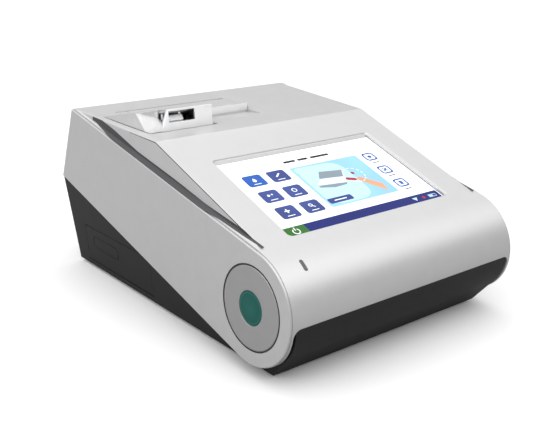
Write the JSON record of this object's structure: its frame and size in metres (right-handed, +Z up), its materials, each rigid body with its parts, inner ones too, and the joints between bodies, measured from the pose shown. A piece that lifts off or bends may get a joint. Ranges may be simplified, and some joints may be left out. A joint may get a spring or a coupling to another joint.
{
  "type": "blood gas analyzer",
  "caption": "Portable cartridge blood gas analyzer: wedge casing with rolled nose, sloped touch screen, raised printer lid, side cartridge slot and pack door.",
  "frame": {"origin": "middle of the footprint at table height, under the rubber feet", "axes": "+Z up, -Y towards the user (nose and screen), +X to the right as the user sees it"},
  "size_m": [0.2372, 0.317, 0.1554],
  "materials": {
    "base_black": "moulded, fine satin grain, smoother on the nose",
    "cover_silver": "silver paint on plastic, satin",
    "lid_silver": "silver paint on plastic, satin",
    "panel_silver": "silver paint on plastic, satin",
    "disc_silver": "silver paint on plastic, satin",
    "badge_teal": "dark teal, glossy and slightly domed",
    "trim_dark": "dark grey, matte",
    "lens_dark": "smoked lens",
    "screen_glass": "touch glass, glossy",
    "lcd_panel": "lit display with icons",
    "frame_black": "black moulded plastic",
    "rubber_black": "matte",
    "platen_rubber": "ground, matte",
    "screw_steel": "zinc plated",
    "shaft_steel": "ground steel",
    "blade_steel": "thin stainless strip",
    "motor_steel": "drawn steel can",
    "chassis_steel": "zinc plated sheet",
    "socket_steel": "nickel plated shell",
    "lever_grey": "light grey moulded plastic",
    "gear_plastic": "natural acetal",
    "pinion_brass": "machined",
    "roll_paper": "smooth thermal paper",
    "core_plastic": "moulded plastic",
    "head_ceramic": "glazed heater on an aluminium back",
    "pack_plastic": "translucent white pack",
    "guide_plastic": "grey moulded plastic",
    "heater_aluminium": "milled",
    "scan_glass": "dark red filter window",
    "board_green": "solder mask",
    "battery_wrap": "shrink wrap"
  },
  "bodies": {
    "casing": {"base_tray": "base_black", "top_cover": "cover_silver", "rubber_feet": "rubber_black", "base_screws": "screw_steel", "left_side_panel": "panel_silver", "right_side_panel": "panel_silver", "left_disc": "disc_silver", "right_disc": "disc_silver", "left_badge": "badge_teal", "right_badge": "badge_teal", "left_trim_strip": "trim_dark", "right_trim_strip": "trim_dark", "indicator_lens": "lens_dark", "touch_glass": "screen_glass", "lcd_module": "lcd_panel", "lcd_frame": "frame_black", "hinge_pin": "shaft_steel", "paper_tub": "frame_black", "printer_motor": "motor_steel", "printer_chassis": "chassis_steel", "thermal_head": "head_ceramic", "pack_housing": "frame_black", "calibrant_pack": "pack_plastic", "cartridge_guide": "guide_plastic", "heater_plate": "heater_aluminium", "contact_block": "frame_black", "pump_motor": "motor_steel", "pump_body": "guide_plastic", "scanner_window": "scan_glass", "scanner_module": "frame_black", "main_board": "board_green", "board_screws": "screw_steel", "usb_sockets": "socket_steel", "lan_socket": "socket_steel", "dc_inlet": "frame_black", "battery_cover": "base_black", "battery_pack": "battery_wrap", "speaker": "frame_black"},
    "printer_lid": {"printer_cover": "lid_silver", "tear_bar": "blade_steel"},
    "lid_lever": {"release_lever": "lever_grey"},
    "platen": {"platen_rubber": "platen_rubber", "platen_shaft": "shaft_steel", "platen_gear": "gear_plastic"},
    "idler": {"idler_gear": "gear_plastic"},
    "feed_pinion": {"motor_pinion": "pinion_brass", "motor_shaft": "shaft_steel"},
    "roll": {"paper_roll": "roll_paper", "paper_core": "core_plastic"},
    "side_door": {"pack_door": "base_black"},
    "rotor": {"pump_rotor": "lever_grey"},
    "button": {"power_button": "lever_grey"}
  },
  "joints": [
    {"name": "lid_hinge", "type": "hinge", "parent": "casing", "child": "printer_lid", "pos_m": [-0.03415, 0.104, 0.13911], "axis": [-1, 0, 0], "range_deg": [0, 85]},
    {"name": "lever_press", "type": "hinge", "parent": "printer_lid", "child": "lid_lever", "pos_m": [-0.0715, 0.047, 0.1435], "axis": [1, 0, 0], "range_deg": [0, 12], "stiffness_Nm_per_rad": 0.02, "springref_deg": -11.46},
    {"name": "platen_spin", "type": "hinge", "parent": "printer_lid", "child": "platen", "pos_m": [-0.011, 0.0705, 0.1335], "axis": [1, 0, 0], "continuous": true},
    {"name": "idler_spin", "type": "hinge", "parent": "casing", "child": "idler", "pos_m": [-0.0495, 0.06124, 0.12247], "axis": [1, 0, 0], "continuous": true},
    {"name": "pinion_spin", "type": "hinge", "parent": "casing", "child": "feed_pinion", "pos_m": [-0.0495, 0.05314, 0.11282], "axis": [1, 0, 0], "continuous": true},
    {"name": "roll_spin", "type": "hinge", "parent": "casing", "child": "roll", "pos_m": [-0.011, 0.088, 0.1156], "axis": [1, 0, 0], "continuous": true},
    {"name": "pack_door_hinge", "type": "hinge", "parent": "casing", "child": "side_door", "pos_m": [-0.10855, 0.07422, 0.00905], "axis": [0.0298, -0.9996, 0.0023], "range_deg": [0, 90]},
    {"name": "pump_spin", "type": "hinge", "parent": "casing", "child": "rotor", "pos_m": [-0.042, -0.066, 0.03], "axis": [0, 0, 1], "continuous": true},
    {"name": "power_press", "type": "slide", "parent": "casing", "child": "button", "axis": [0, -1, 0], "range_m": [0, 0.0015], "stiffness_N_per_m": 300, "springref_m": -0.002}
  ],
  "couplings": [
    {"joint": "idler_spin", "follows": "platen_spin", "ratio": -0.6},
    {"joint": "pinion_spin", "follows": "platen_spin", "ratio": 1.5}
  ]
}
